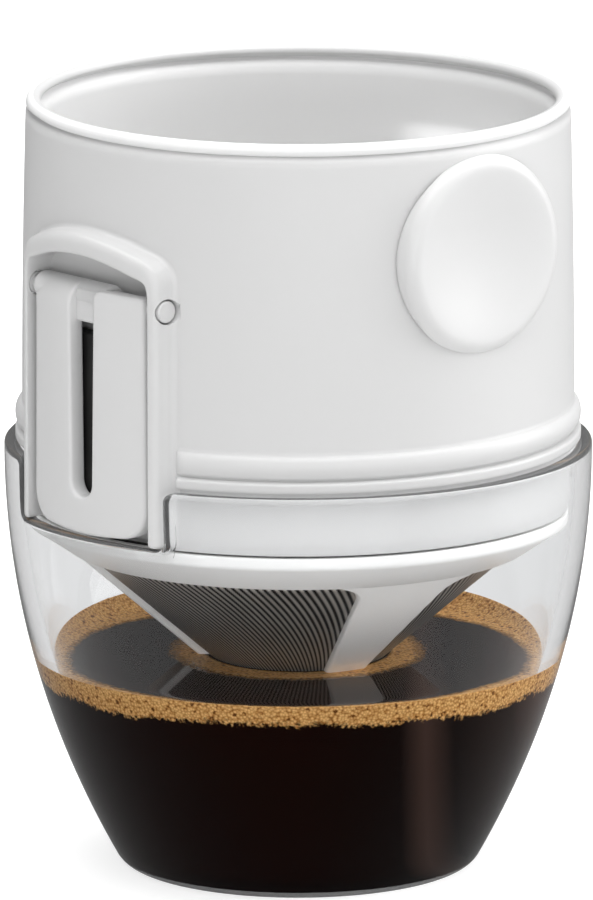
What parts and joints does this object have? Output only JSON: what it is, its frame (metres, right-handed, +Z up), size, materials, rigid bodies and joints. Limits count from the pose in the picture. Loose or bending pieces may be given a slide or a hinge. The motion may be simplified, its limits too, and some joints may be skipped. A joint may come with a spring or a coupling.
{
  "type": "drip coffee maker",
  "caption": "Portable pour-over drip coffee maker: a white dripper tube with fold-out arms, dished finger grips and a steel mesh cone, standing in the rim of a clear cup.",
  "frame": {"origin": "centre of the underside of the cup's base", "axes": "+Z up along the axis of the cup and dripper; the fold-out arms are on -X and +X and the round finger grips on -Y and +Y"},
  "size_m": [0.0864, 0.0864, 0.1151],
  "materials": {
    "clear_cup": "clear, polished",
    "body_white": "satin white moulding",
    "housing_white": "satin white moulding",
    "arm_white": "satin white moulding",
    "pin_white": "satin white moulding",
    "grip_white": "satin white moulding",
    "filter_white": "satin white moulding",
    "steel_mesh": "fine woven mesh",
    "silicone": "matte silicone"
  },
  "bodies": {
    "cup": {"server_cup": "clear_cup"},
    "dripper": {"dripper_body": "body_white", "housing_left": "housing_white", "housing_right": "housing_white", "arm_pin_left": "pin_white", "arm_pin_right": "pin_white", "grip_disc_front": "grip_white", "grip_disc_back": "grip_white"},
    "arm_left": {"arm_left": "arm_white", "arm_pad_left": "silicone"},
    "arm_right": {"arm_right": "arm_white", "arm_pad_right": "silicone"},
    "filter": {"filter_frame": "filter_white", "mesh_cone": "steel_mesh", "mesh_floor": "steel_mesh", "filter_seal": "silicone"}
  },
  "joints": [
    {"name": "dripper_lift", "type": "slide", "parent": "cup", "child": "dripper", "axis": [0, 0, 1], "range_m": [0, 0.08]},
    {"name": "arm_left_fold", "type": "hinge", "parent": "dripper", "child": "arm_left", "pos_m": [-0.0386, 0, 0.0901], "axis": [0, 1, 0], "range_deg": [0, 90]},
    {"name": "arm_right_fold", "type": "hinge", "parent": "dripper", "child": "arm_right", "pos_m": [0.0386, 0, 0.0901], "axis": [0, -1, 0], "range_deg": [0, 90]},
    {"name": "filter_twist", "type": "hinge", "parent": "dripper", "child": "filter", "pos_m": [0, 0, 0.055], "axis": [0, 0, 1], "range_deg": [0, 30]}
  ]
}
